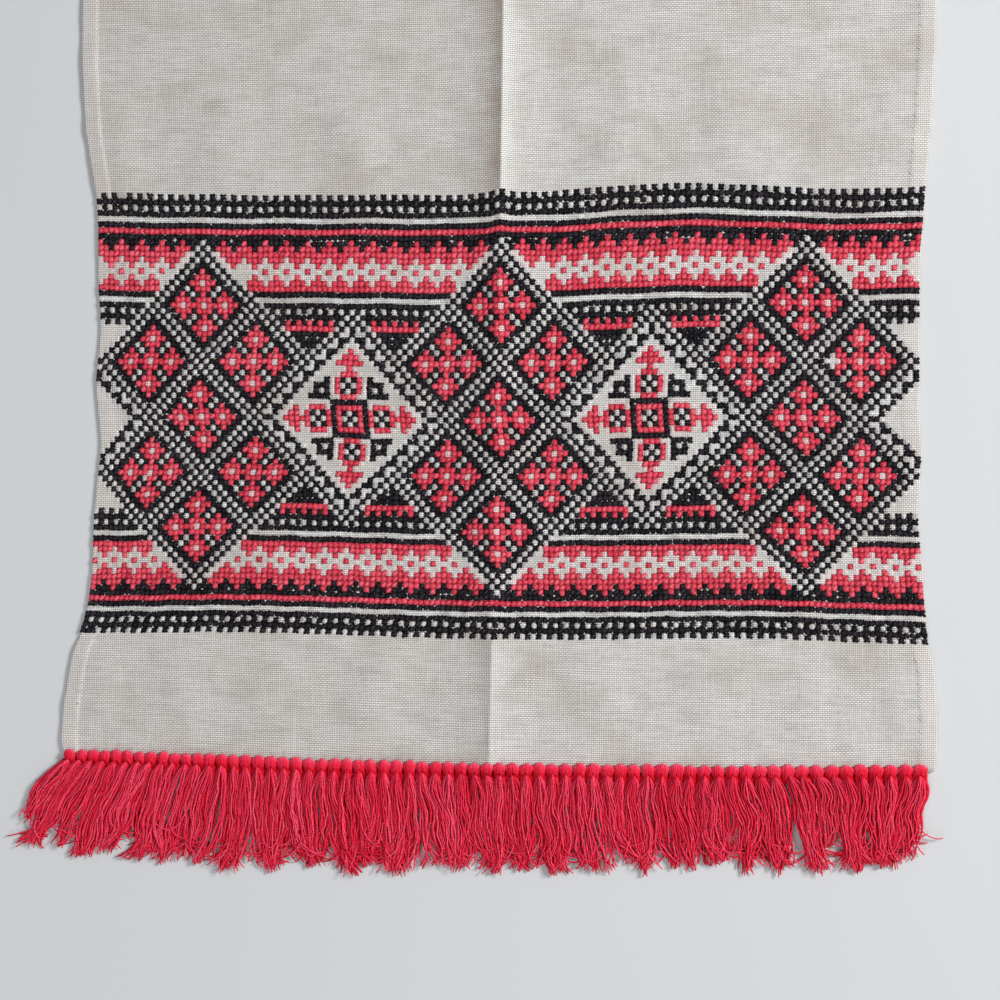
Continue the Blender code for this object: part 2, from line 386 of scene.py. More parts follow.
class Nodes:
    """Short ways to add shader nodes to one material."""

    def __init__(self, name, roughness, sheen=0.0, specular=0.3):
        self.material = bpy.data.materials.new(name)
        self.material.use_nodes = True
        self.tree = self.material.node_tree
        self.shader = self.tree.nodes["Principled BSDF"]
        looks = {"Roughness": roughness, "Sheen Weight": sheen, "Specular IOR Level": specular}
        for key, value in looks.items():
            self.put(self.shader.inputs[key], value)

    def add(self, kind, **inputs):
        node = self.tree.nodes.new(kind)
        for key, value in inputs.items():
            self.put(node.inputs[key.replace("_", " ")], value)
        return node

    def put(self, socket, value):
        if isinstance(value, bpy.types.NodeSocket):
            self.tree.links.new(value, socket)
        else:
            socket.default_value = value

    def math(self, operation, first, second=0.0, kind="ShaderNodeMath"):
        node = self.tree.nodes.new(kind)
        node.operation = operation
        self.put(node.inputs[0], first)
        self.put(node.inputs[1], second)
        return node.outputs[0]

    def scaled(self, vector, scale):
        return self.math("MULTIPLY", vector, scale, "ShaderNodeVectorMath")

    def attribute(self, name, output):
        node = self.tree.nodes.new("ShaderNodeAttribute")
        node.attribute_name = name
        return node.outputs[output]

    def noise(self, vector, scale, detail=2.0):
        node = self.add("ShaderNodeTexNoise", Vector=vector, Scale=scale, Detail=detail)
        return node.outputs["Fac"]

    def uneven(self, plan, across, along, detail=2.0):
        """Noise drawn out along or across the cloth."""
        return self.noise(self.scaled(plan, (across, along, 1)), 1.0, detail)

    def times(self, *values):
        product = values[0]
        for value in values[1:]:
            product = self.math("MULTIPLY", product, value)
        return product

    def mix(self, share, first, second):
        node = self.tree.nodes.new("ShaderNodeMix")
        node.data_type = "RGBA"
        self.put(node.inputs["Factor"], share)
        self.put(node.inputs[6], first)
        self.put(node.inputs[7], second)
        return node.outputs[2]

    def range(self, value, low, high, to_low=0.0, to_high=1.0):
        node = self.add(
            "ShaderNodeMapRange",
            Value=value, From_Min=low, From_Max=high, To_Min=to_low, To_Max=to_high,
        )
        return node.outputs["Result"]

    def finish(self, colour, height=None, strength=1.0):
        self.put(self.shader.inputs["Base Color"], colour)
        if height is not None:
            raised = self.add(
                "ShaderNodeBump", Height=height, Strength=strength, Distance=BUMP_DEPTH
            )
            self.put(self.shader.inputs["Normal"], raised.outputs["Normal"])
        return self.material


WARP_PITCH, WEFT_PITCH = 0.78, 0.82
THREAD_WANDER = 7.0
# Painted shade between the linen's threads and painted light on their crowns, as factors on its
# colour
WEAVE_PAINTED_SHADE, WEAVE_PAINTED_LIGHT = 0.42, 1.24
BUMP_DEPTH = 0.00022
CLOUD = (0.09, 0.12, 2.0)
# Painted shade over the left half of the cloth, away from the key lamp
PAINTED_LEFT_HALF_SHADE = (0.50, 0.43, 0.33, 1)
LINEN_TINTS = [
    # noise scale across, along and its detail, noise from, to, share, colour
    (0.026, 0.038, 3.0, 0.48, 0.66, 0.42, (0.50, 0.42, 0.345, 1)),
    (1.2, 0.05, 2.0, 0.50, 0.75, 0.45, (0.86, 0.85, 0.82, 1)),
    (*CLOUD, 0.48, 0.70, 0.22, (0.36, 0.33, 0.30, 1)),
    (0.45, 0.6, 2.0, 0.50, 0.75, 0.30, (0.40, 0.375, 0.34, 1)),
]
HEM_TINT = (0.86, 0.77, 0.73, 1)
# Pink on the linen beside red stitches: partly loose red fuzz, partly painted light bounced off the
# red thread
RED_FUZZ_AND_BOUNCE_SHARE, RED_FUZZ_AND_BOUNCE_TINT = 0.8, (1.0, 0.56, 0.56, 1)
# Share of the dim colour: painted shade at the needle holes between stitches, and random dimming of
# some bare cells
DIM_SHARE = 0.6
# Painted shade on the crease's left flank and painted light on its right flank
FOLD_SHADE_SHARE, PAINTED_FOLD_SHADE = 0.44, (0.38, 0.265, 0.17, 1)
FOLD_LIGHT_SHARE, PAINTED_FOLD_LIGHT = 0.42, (1.0, 1.0, 0.98, 1)


def weave_height(n, plan, x, y):
    """Rounded threads over and under each other, which wander a little from straight."""
    u = n.times(x, math.pi / WARP_PITCH)
    v = n.times(y, math.pi / WEFT_PITCH)
    u = n.math("ADD", u, n.times(n.uneven(plan, 0.10, 0.02, 1.0), THREAD_WANDER))
    v = n.math("ADD", v, n.times(n.uneven(plan, 0.02, 0.12, 1.0), THREAD_WANDER))
    sine_u, sine_v = n.math("SINE", u), n.math("SINE", v)
    over = n.range(n.times(sine_u, sine_v), -0.5, 0.5)
    weft = n.times(n.math("ABSOLUTE", sine_v), n.range(over, 0, 1, 0.38, 1.00))
    warp = n.times(n.math("ABSOLUTE", sine_u), n.range(over, 0, 1, 0.80, 0.20))
    return n.math("MAXIMUM", weft, warp)


def painted_fold_light_and_shade(n, base, y, cloud):
    """Painted shade left of the crease and painted light right of it, less of both toward the
    fringe, and a little painted shade over the whole left half.
    """
    fold = n.attribute("fold", "Fac")
    full = n.times(n.range(y, -130, 110, 0.2, 1.0), n.range(cloud, 0.30, 0.55, 0.55, 1.0))
    left = n.times(n.range(fold, -13, -3), n.range(fold, -0.2, 0.5, 1.0, 0.0))
    right = n.times(n.range(fold, 1, 9, 1.0, 0.0), n.range(fold, -0.2, 0.5))
    base = n.mix(n.range(fold, -30, 4, 0.10, 0.0), base, PAINTED_LEFT_HALF_SHADE)
    base = n.mix(n.times(left, full, FOLD_SHADE_SHARE), base, PAINTED_FOLD_SHADE)
    return n.mix(n.times(right, full, FOLD_LIGHT_SHARE), base, PAINTED_FOLD_LIGHT)


def linen_material(name, light, dark, dim=None):
    """Plain-woven linen with slubs and warm patches, the weave's shade and light painted into its
    colour, and on the sheet painted light and shade by the crease. With dim, it is the linen
    between stitches, darker by its tone: painted shade at the needle holes, random dimming of cells
    elsewhere.
    """
    n = Nodes(name, roughness=0.95, sheen=0.04, specular=0.12)
    plan = n.attribute("weave", "Vector")
    parts = n.add("ShaderNodeSeparateXYZ", Vector=plan)
    height = weave_height(n, plan, parts.outputs["X"], parts.outputs["Y"])
    base = n.mix(n.range(n.uneven(plan, 0.07, 1.2), 0.3, 0.7), dark, light)
    for across, along, detail, low, high, share, colour in LINEN_TINTS:
        spots = n.uneven(plan, across, along, detail)
        base = n.mix(n.range(spots, low, high, 0, share), base, colour)
    if dim:
        # Painted shade at the needle holes and random dimming of cells, by the tone attribute
        base = n.mix(n.range(n.attribute("tone", "Fac"), 0, 1, 0, DIM_SHARE), base, dim)
        # Pink beside red stitches: red fuzz, and painted light bounced off the red thread
        base = n.mix(n.times(n.attribute("red_fuzz_and_bounce", "Fac"), RED_FUZZ_AND_BOUNCE_SHARE), base, RED_FUZZ_AND_BOUNCE_TINT)
    else:
        cloud = n.uneven(plan, *CLOUD)
        hem = n.times(n.attribute("hem", "Fac"), n.range(cloud, 0.35, 0.65, 0.15, 0.5))
        base = painted_fold_light_and_shade(n, n.mix(hem, base, HEM_TINT), parts.outputs["Y"], cloud)
    # Painted shade and light of the weave, multiplied into the colour
    shade = n.range(height, 0.25, 0.95, WEAVE_PAINTED_SHADE, WEAVE_PAINTED_LIGHT)
    return n.finish(n.scaled(base, shade), height, 0.8)


def thread_material(name, deep, dark, light, pale, sheen=0.0, fibre=1900):
    """Thread in fine twisted strands: its tone changes along it and from one length to the next. A
    low tone paints shade in with the deep colour, a high one a highlight with the pale colour.
    """
    n = Nodes(name, roughness=0.85, sheen=sheen, specular=0.10)
    tone = n.attribute("tone", "Fac")
    place = n.add("ShaderNodeTexCoord").outputs["Object"]
    fine, wide = n.noise(place, fibre), n.noise(place, 22.0)
    share = n.math("ADD", n.times(tone, 0.5), n.times(fine, 0.9))
    share = n.math("ADD", share, n.times(wide, 0.25))
    colour = n.mix(n.range(share, 0.50, 1.15), dark, light)
    # Painted highlight: the pale colour where tone and fibre noise run high
    colour = n.mix(n.range(share, 1.0, 1.7, 0.0, 0.6), colour, pale)
    # Painted shade: the deep colour where the tone runs low, at needle holes, down the knots' legs
    # and in the tassels' lower layers
    colour = n.mix(n.range(tone, -0.9, 0.1, 1.0, 0.0), colour, deep)
    return n.finish(colour, fine, 0.9)


LINEN = linen_material("linen_weave", (0.79, 0.77, 0.74, 1), (0.63, 0.61, 0.58, 1))
LINEN_RELIEF = linen_material(
    "linen_between_stitches",
    light=(0.95, 0.935, 0.915, 1),
    dark=(0.80, 0.785, 0.775, 1),
    # The dim colour is painted shade in the needle holes, and random dimming of cells
    dim=(0.36, 0.345, 0.34, 1),
)
# Each thread's deep colour is painted shade and its pale colour a painted highlight
RED = thread_material(
    "red_stitching",
    deep=(0.16, 0.008, 0.018, 1),
    dark=(0.60, 0.026, 0.052, 1),
    light=(0.88, 0.142, 0.202, 1),
    pale=(0.92, 0.42, 0.48, 1),
    sheen=0.05,
)
BLACK = thread_material(
    "black_stitching",
    deep=(0.0025, 0.002, 0.003, 1),
    dark=(0.0035, 0.003, 0.004, 1),
    light=(0.044, 0.038, 0.048, 1),
    pale=(0.055, 0.048, 0.060, 1),
)
YARN = thread_material(
    "red_yarn",
    deep=(0.38, 0.001, 0.008, 1),
    dark=(0.66, 0.002, 0.016, 1),
    light=(0.90, 0.050, 0.118, 1),
    pale=(0.92, 0.34, 0.42, 1),
    fibre=1500,
)


# The cloth

HEM_OFFSETS = (0.0, 0.12, 0.4, 0.9, 2.4, 4.4, 5.8, 6.25, 6.6, 6.95, 7.6)
CREASE_OFFSETS = (0.0, 0.6, 1.3, 2.2, 3.4, 5.0, 7.0, 9.5, 12.5, 16.0, 20.0, 24.0, 28.0)
SPREAD_COLUMNS = 37
CLOTH_ROW_RUNS = [
    # from, to, step
    (END_ROW_Y, -88, 2.5),
    (-88, 88, 4.0),
    (88, 190, 3.0),
    (190, 804, 7.0),
    (805.5, 808.5, 0.5),
    (810, 815, 2.5),
    (816.2, 817, 0.4),
]


def cloth_rows():
    rows = []
    for start, end, step in CLOTH_ROW_RUNS:
        rows += np.linspace(start, end, max(2, round((end - start) / step) + 1)).tolist()
    return np.array(sorted(set(np.round(rows, 4))))


def cloth_columns(y):
    """Columns that follow both hems and the crease, the rest spread evenly between."""
    left, right, crease = left_edge(y), right_edge(y), crease_x(y)
    by_hem, by_crease = HEM_OFFSETS[-1], CREASE_OFFSETS[-1]

    def spread(start, end):
        return [start + (end - start) * f for f in np.linspace(0, 1, SPREAD_COLUMNS + 2)[1:-1]]

    columns = [left + o for o in HEM_OFFSETS]
    columns += spread(left + by_hem, crease - by_crease)
    columns += [crease - o for o in reversed(CREASE_OFFSETS)]
    columns += [crease + o for o in CREASE_OFFSETS[1:]]
    columns += spread(crease + by_crease, right - by_hem)
    columns += [right - o for o in reversed(HEM_OFFSETS)]
    return columns


def fold_drop(inside):
    """How far the top falls away at a folded edge, a quarter circle in plan offset."""
    near = np.clip(1 - inside / FOLD_RADIUS, 0, 1)
    return FOLD_RADIUS * (1 - np.sqrt(1 - near * near))


def linen_cloth():
    rows = cloth_rows()
    x = np.array([cloth_columns(y) for y in rows])
    count, columns = x.shape
    along = np.repeat(rows[:, None], columns, axis=1)
    near_end = bump(np.clip((along - END_ROW_Y) / END_EASE, 0, 1))
    y = along + (end_edge(x) - END_ROW_Y) * near_end
    inside = np.minimum(x - left_edge(along), right_edge(along) - x)
    inside = np.minimum(inside, FAR_END_Y - along)
    rest = lift(x, y) + crest(x, y)
    top = rest + LINEN_LOW + LINEN_THICK + hem_rise(x, along) - fold_drop(inside)
    low = rest + LINEN_LOW + FOLD_UNDERCUT * fold_drop(inside)
    upper = np.stack([x, y, top], -1).reshape(-1, 3)
    lower = np.stack([x, y, low], -1).reshape(-1, 3)
    start = len(upper)
    faces = grid_faces(count, columns) + grid_faces(count, columns, start, flip=True)
    index = np.arange(count * columns).reshape(count, columns)
    for strip, ahead in ((index[:, 0], -1), (index[:, -1], 1), (index[0], 1), (index[-1], -1)):
        faces += [[a, a + start, b + start, b][::ahead] for a, b in zip(strip, strip[1:])]
    weave = np.stack([x, along, 0 * x], -1).reshape(-1, 3)
    hem = 1 - ease((inside - SIDE_HEM_WIDTH) / HEM_TINT_EASE + 0.5)
    return make_object("linen_sheet", np.concatenate([upper, lower]), faces, LINEN, {
        "weave": np.concatenate([weave, weave]),
        "fold": np.tile((x - crease_x(y)).ravel(), 2),
        "hem": np.tile(hem.ravel(), 2),
    })


# The stitch chart, worked out by rule

SMALL_DIAMONDS = ((0, -20), (-10, -10), (10, -10), (0, 0), (-10, 10), (10, 10), (0, 20))
FLOWERS = ((0, 0), (4, 0), (-4, 0), (0, 4), (0, -4))
CORNER_MOTIF = {(4, 4), (5, 4), (6, 4), (7, 4), (4, 5), (6, 5), (4, 6), (5, 6), (6, 6), (4, 7)}
FLOWER_BAND_BARE = {12: (0,), 13: (0, 1, 3), 14: (1, 2, 3), 15: (0, 1, 3), 16: (0,)}
ARROW_WIDTHS = {4: 1, 8: 1, 9: 0, 10: 2, 11: 1, 12: 0}


def diamond_stitch(dx, dy):
    """Inside one small diamond: five red flowers on black."""
    for fx, fy in FLOWERS:
        off = abs(dx - fx) + abs(dy - fy)
        if off == 0:
            return "bare"
        if off <= 2:
            return "red"
    if abs(dx) == abs(dy) and abs(dx) in (2, 3):
        return "bare"
    return "black"


def rosette_stitch(dx, dy):
    """Inside a rosette: a ringed middle, four arrows and four black corners on bare linen."""
    dx, dy = abs(dx), abs(dy)
    if (dx, dy) in CORNER_MOTIF:
        return "black"
    far, near = max(dx, dy), min(dx, dy)
    if far <= 1:
        return "bare" if far == 1 and near == 0 else "black"
    if far == 2:
        return "red"
    if far == 3:
        return "black"
    if 5 <= far <= 7 and near <= 1:
        return "bare" if (near == 0) != (far == 6) else "black"
    if 5 <= far <= 7 and near == 2:
        return "red"
    return "red" if near <= ARROW_WIDTHS.get(far, -1) else "bare"


def border_stitch(row, column):
    """Rows 1 to 9, outside the diamonds."""
    if row == 5 or (row in (1, 3) and column % 2):
        return "bare"
    return "red" if row == 7 or (row == 9 and column % 4 == 0) else "black"


def flower_band_stitch(row, column, from_diamond):
    """Rows 10 to 17: a red band with a row of bare flowers, and a bare margin by a diamond."""
    if from_diamond == 12:
        return {10: "black", 17: "red"}.get(row, "bare")
    phase = column % 4
    if row == 10:
        return "black" if phase == 2 else "red"
    return "bare" if phase in FLOWER_BAND_BARE.get(row, ()) else "red"


def stitch_at(column, r):
    """What the chart holds: 'red', 'black' or 'bare'."""
    row = min(r, 2 * MIDDLE_ROW - r)
    down = r - MIDDLE_ROW
    offsets = [
        (column - a - gx, down - gy) for a in APEXES for gx, gy in SMALL_DIAMONDS
    ]
    nearest = min(offsets, key=lambda o: abs(o[0]) + abs(o[1]))
    s = abs(nearest[0]) + abs(nearest[1])
    rosette = min(ROSETTES, key=lambda m: abs(column - m))
    t = abs(column - rosette) + abs(down)
    if s <= 8:
        return diamond_stitch(*nearest)
    if s <= 11:
        return "black" if s == 10 else "bare"
    if row <= 9:
        return border_stitch(row, column)
    if row <= 17:
        return flower_band_stitch(row, column, s)
    if row <= 22:
        if row == 19 or (row == 22 and abs(column - rosette) == 1):
            return "bare"
        return "bare" if row == 21 and column % 2 == 0 else "black"
    if t <= 14:
        return rosette_stitch(column - rosette, down) if rosette in WHOLE_ROSETTES else "bare"
    if t <= 19:
        return "bare" if t in (17, 19) or (t == 16 and down % 2) else "black"
    if not APEXES[0] - 10 <= column <= APEXES[-1] + 10:
        return "bare" if row > 23 or column % 2 == 0 else "black"
    across = abs(column - rosette)
    red = 4 <= across <= 12 and (row == 24 or (row == 23 and across % 2 == 0))
    return "red" if red else "black"


# Slips in the hand work: (column, row)
BARE_SLIPS = (
    (-20, 1), (-18, 1), (-16, 1), (-20, 3), (-18, 3), (-20, 14), (8, 14), (64, 14),
    (132, 14), (116, 30), (117, 29), (117, 30), (117, 31), (-11, 51),
)
BLACK_SLIPS = ((-19, 1), (-17, 1), (-19, 3), (-17, 3), (-19, 79))
SLIPS = {**dict.fromkeys(BARE_SLIPS, "bare"), **dict.fromkeys(BLACK_SLIPS, "black")}

CHART = {
    (c, r): SLIPS.get((c, r), stitch_at(c, r))
    for r in range(1, ROWS + 1)
    for c in range(FIRST_COLUMN, LAST_COLUMN + 1)
}


def between_rows(readers, column, row):
    """The one smooth curve down a column that passes through its values at the five rows."""
    total = 0
    for i, (reader, here) in enumerate(zip(readers, SHIFT_ROWS)):
        weight = 1
        for there in SHIFT_ROWS[:i] + SHIFT_ROWS[i + 1:]:
            weight = weight * (row - there) / (here - there)
        total = total + weight * reader(column)
    return total


def chart_place(column, row):
    """Plan x and y of a place on the chart, with the cloth's own unevenness."""
    column, row = np.asarray(column, float), np.asarray(row, float)
    share = (column - (FIRST_COLUMN - 0.5)) / COLUMNS
    height = (MIDDLE_ROW - row) * ROW_PITCH
    left, right = left_edge(height) + EDGE_MARGIN, right_edge(height) - EDGE_MARGIN
    x = left + (right - left) * share + between_rows(column_shifts, column, row)
    y = height + between_rows(row_shifts, column, row)
    near_crest = bump(np.clip((x - crease_x(height)) / CREST_HALF_WIDTH, -1, 1))
    y = y + CREST_ROW_PEAK * near_crest * np.clip(1 - row / CREST_ROWS, 0, 1)
    x = x + STITCH_WOBBLE * np.sin(row / 3.1 + 2.0 * np.sin(column / 9.0))
    y = y + STITCH_WOBBLE * np.sin(column / 2.7 + 2.2 * np.sin(row / 4.3) + column * row / 190)
    return x, y


def lattice(per_cell):
    """The chart's places at so many steps a cell, with the cloth's top there."""
    columns = np.arange(COLUMNS * per_cell + 1) / per_cell
    rows = np.arange(ROWS * per_cell + 1) / per_cell
    c, r = np.meshgrid(columns + FIRST_COLUMN - 0.5, rows + 0.5)
    x, y = chart_place(c, r)
    return np.stack([x, y, cloth_top(x, y)], -1)


CORNERS = lattice(1)

# A cross: one thread over another
# Each row: share of the way, height of the base, width, depth, tone
# The low tone at the thread ends is painted shade in the needle holes; the over thread's higher
# tone at its crown is a faint painted highlight
UNDER_THREAD = np.array([
    (0.02, 0.00, 0.70, 0.14, -1.2),
    (0.27, 0.16, 1.10, 0.46, 0.0),
    (0.73, 0.16, 1.10, 0.46, 0.0),
    (0.98, 0.00, 0.70, 0.14, -1.2),
])
OVER_THREAD = np.array([
    (0.02, 0.00, 0.70, 0.14, -1.2),
    (0.24, 0.26, 1.06, 0.46, -0.1),
    (0.50, 0.42, 1.18, 0.50, 0.15),
    (0.76, 0.26, 1.06, 0.46, -0.1),
    (0.98, 0.00, 0.70, 0.14, -1.2),
])
THREAD_CORNERS = 3
BULK_STRAY, HEIGHT_STRAY = 0.12, 0.20
STITCH_STRAY = 0.11

# The loose fibres around a cross: height and tone at a corner, a side, a corner and the middle
# The corners' tone of -1.0 is painted shade in the needle holes
PAD_SHAPE = ((0.03, -1.0), (0.42, 0.3), (0.03, -1.0), (0.50, 0.0))
PAD_SIDES = ((-1, 0), (0, -1), (1, 0), (0, 1))
PAD_CLOSED = -0.02
PAD_STRAY, PAD_TONE_STRAY = 0.07, 0.35

# Needle holes: how far the threads' ends stay back from one, and how seldom it is wide
THREAD_GAP = 0.7
GAP_RARITY = 3

CROSS_SEED = 31
RED_STITCH = {
    "width": 1.17, "pinch": 0.55, "gap": 0.06, "horn": -0.24, "opened": -0.02, "finish": RED,
}
BLACK_STITCH = {
    "width": 1.12, "pinch": 1.30, "gap": 0.44, "horn": 0.22, "opened": -0.17, "finish": BLACK,
}


def threads(start, end, shape, width, rng):
    """Closed three-cornered threads from start to end, arched over the cloth, and their tones."""
    count = len(start)
    way = end - start
    flat = way[:, :2] / np.linalg.norm(way[:, :2], axis=1, keepdims=True)
    side = np.stack([-flat[:, 1], flat[:, 0], np.zeros(count)], 1)
    bulk = width * rng.normal(1, BULK_STRAY, count)
    tall = rng.normal(1, HEIGHT_STRAY, count)
    points = np.empty((count, len(shape), THREAD_CORNERS, 3))
    for k, (t, base, wide, deep, _) in enumerate(shape):
        centre = start + way * t
        centre[:, 2] = cloth_top(centre[:, 0], centre[:, 1]) + base * tall
        half = (bulk * wide / 2)[:, None]
        points[:, k, 0] = centre - side * half
        points[:, k, 1] = centre + np.array([0, 0, deep])
        points[:, k, 2] = centre + side * half
    tones = rng.random((count, 1, 1)) + shape[None, :, 4, None] + np.zeros(THREAD_CORNERS)
    return points.reshape(-1, 3), tones.ravel()


def tube_faces(count, rings, sides, first=0):
    """The faces of many closed tubes, each of so many rings."""
    last = (rings - 1) * sides
    pattern = [list(range(sides))[::-1], list(range(last, last + sides))]
    for k in range(0, last, sides):
        for a in range(sides):
            b = (a + 1) % sides
            pattern.append([k + a, k + b, k + sides + b, k + sides + a])
    faces = []
    for base in range(first, first + count * rings * sides, rings * sides):
        faces += [[base + v for v in f] for f in pattern]
    return faces


def pads(cells, corners, gaps, horn, opened, rng):
    """The loose fibres of each cross: a low puff toward each side.

    Horn and opened say how far it spreads, or draws in, beside bare linen.
    """
    middle = sum(corners) / 4
    shade = rng.uniform(-PAD_TONE_STRAY, PAD_TONE_STRAY, len(cells))
    sides, side_tones = [], []
    for side, (dr, dc) in enumerate(PAD_SIDES):
        bare = np.array([[CHART.get((c + dc, r + dr), "bare") == "bare"] for c, r in cells])
        a, b = corners[side - 1], corners[side]
        half = (a + b) / 2
        outward = half - middle
        half = half + rng.normal(0, PAD_STRAY, half.shape)
        first = np.where(bare, a + outward * horn, a + (middle - a) * gaps[side - 1])
        last = np.where(bare, b + outward * horn, b + (middle - b) * gaps[side])
        half = half + outward * np.where(bare, opened, PAD_CLOSED)
        points, tones = [], []
        for place, (height, tone) in zip((first, half, last, middle), PAD_SHAPE):
            x, y = place[:, 0], place[:, 1]
            points.append(np.stack([x, y, cloth_top(x, y) + height], 1))
            tones.append(tone + shade)
        sides.append(np.stack(points, 1).reshape(-1, 3))
        side_tones.append(np.stack(tones, 1).ravel())
    return np.concatenate(sides), np.concatenate(side_tones)


def crosses(name, cells, width, pinch, gap, horn, opened, finish):
    """One mesh of every cross in the list of cells."""
    under_shape, over_shape = UNDER_THREAD.copy(), OVER_THREAD.copy()
    for shape in (under_shape, over_shape):
        shape[[0, -1], 2] *= pinch
    rng = np.random.default_rng(CROSS_SEED + len(cells))
    count = len(cells)
    c, r = np.array(cells).T - np.array([[FIRST_COLUMN], [1]])
    stray = rng.normal(0, STITCH_STRAY, (4, count, 3)) * np.array([1, 1, 0])
    holes = gap * rng.random(CORNERS.shape[:2] + (1,)) ** GAP_RARITY
    spots = ((r, c), (r + 1, c), (r + 1, c + 1), (r, c + 1))
    corners = [CORNERS[spot] for spot in spots]
    gaps = [holes[spot] for spot in spots]
    centre = sum(corners) / 4
    ends = [p + (centre - p) * THREAD_GAP * wide for p, wide in zip(corners, gaps)]
    top_left, low_left, low_right, top_right = [p + s for p, s in zip(ends, stray)]
    under, under_tone = threads(top_left, low_right, under_shape, width, rng)
    over, over_tone = threads(low_left, top_right, over_shape, width, rng)
    fibres, fibre_tone = pads(cells, corners, gaps, horn, opened, rng)
    faces = tube_faces(count, len(UNDER_THREAD), THREAD_CORNERS)
    faces += tube_faces(count, len(OVER_THREAD), THREAD_CORNERS, len(under))
    first = len(under) + len(over)
    for i in range(first, first + len(fibres), 4):
        faces += [(i, i + 1, i + 3), (i + 1, i + 2, i + 3)]
    points = np.concatenate([under, over, fibres])
    tones = np.concatenate([under_tone, over_tone, fibre_tone])
    return make_object(name, points, faces, finish, {"tone": tones})


def cross_stitch():
    red = [cell for cell, kind in CHART.items() if kind == "red"]
    black = [cell for cell, kind in CHART.items() if kind == "black"]
    middle = APEXES[1]
    left = [cell for cell in black if cell[0] < middle]
    right = [cell for cell in black if cell[0] >= middle]
    return [
        crosses("cross_stitch_red", red, **RED_STITCH),
        crosses("cross_stitch_black_left", left, **BLACK_STITCH),
        crosses("cross_stitch_black_right", right, **BLACK_STITCH),
    ]


# The linen that swells up between the stitches

RELIEF_STEPS = 3
RELIEF_HEIGHT = 0.60
RELIEF_SUNK = -0.25
RELIEF_BARE = 0.02
RELIEF_STRAY = (0.65, 1.1)
RELIEF_BY_CELLS_AROUND = {1: 1, 2: 0.5, 4: 0.15}
AMONG_REDS = 0.5
DIM_RARITY = 1.6
RELIEF_SEED = 17


def beside(cells):
    """The sum of each cell's four neighbours."""
    return sum(np.roll(cells, shift, axis) for shift in (1, -1) for axis in (0, 1))


def relief_cells():
    """Grids of the chart with a bare border: which cells are bare, which swell, and their looks."""
    rng = np.random.default_rng(RELIEF_SEED)
    bare = np.ones((ROWS + 2, COLUMNS + 2), bool)
    red = np.zeros(bare.shape)
    for (c, r), kind in CHART.items():
        bare[r, c - FIRST_COLUMN + 1] = kind == "bare"
        red[r, c - FIRST_COLUMN + 1] = kind == "red"
    held = beside((~bare).astype(int))
    reds = beside(red) / 4
    puffed = bare & (held >= 2)
    swell = rng.uniform(*RELIEF_STRAY, bare.shape) * (0.2 + 0.2 * held)
    swell *= 1 - AMONG_REDS * (reds == 1)
    dim = rng.random(bare.shape) ** DIM_RARITY * (1 - reds)
    return bare, puffed, swell, reds, dim


def relief():
    """Bare cells held in by stitches on most sides, as small pillows of linen."""
    bare, puffed, swell, reds, dim = relief_cells()
    n = RELIEF_STEPS
    places = lattice(n)
    used, points, weave, tones, red_fuzz_and_bounce, faces = {}, [], [], [], [], []

    def corner(i, j):
        """A lattice point, low at a needle hole or beside a stitch and high between."""
        if (i, j) in used:
            return used[i, j]
        sides_r = [i // n + 1] if i % n else [i // n, i // n + 1]
        sides_c = [j // n + 1] if j % n else [j // n, j // n + 1]
        around = [(a, b) for a in sides_r for b in sides_c]
        rise = RELIEF_SUNK
        if all(puffed[cell] for cell in around):
            rise = RELIEF_HEIGHT * min(swell[cell] for cell in around)
            rise *= RELIEF_BY_CELLS_AROUND[len(around)]
        elif all(bare[cell] for cell in around):
            rise = RELIEF_BARE
        x, y, z = places[i, j]
        points.append((x, y, z + rise))
        weave.append((x, y, 0))
        # Tone 1 at a needle hole is painted shade in it; elsewhere it is the cell's random dimming
        tones.append(1.0 if len(around) == 4 else np.mean([dim[cell] for cell in around]))
        near_red = max(reds[cell] for cell in around if puffed[cell])
        # Pink beside red stitches: loose red fuzz and painted light bounced off the red thread
        red_fuzz_and_bounce.append(near_red * (0.7 if len(around) == 1 else 1.0))
        used[i, j] = len(points) - 1
        return used[i, j]

    for r, c in np.argwhere(puffed[1:-1, 1:-1]):
        for i in range(r * n, r * n + n):
            for j in range(c * n, c * n + n):
                ring = ((i, j), (i + 1, j), (i + 1, j + 1), (i, j + 1))
                faces.append([corner(*place) for place in ring])
    looks = {"weave": weave, "tone": tones, "red_fuzz_and_bounce": red_fuzz_and_bounce}
    return make_object("linen_relief", points, faces, LINEN_RELIEF, looks)


# Small stitches of linen thread that hold the hems

SEAM_PITCH = 4.6
SEAM_RADIUS = 0.15
SEAM_REACH = 0.75
SEAM_SLANT = (0.35, 0.8)
SEAM_ARCH, SEAM_SUNK = 0.16, 0.07
SEAM_SIDES = 4
HEM_SEED = 23


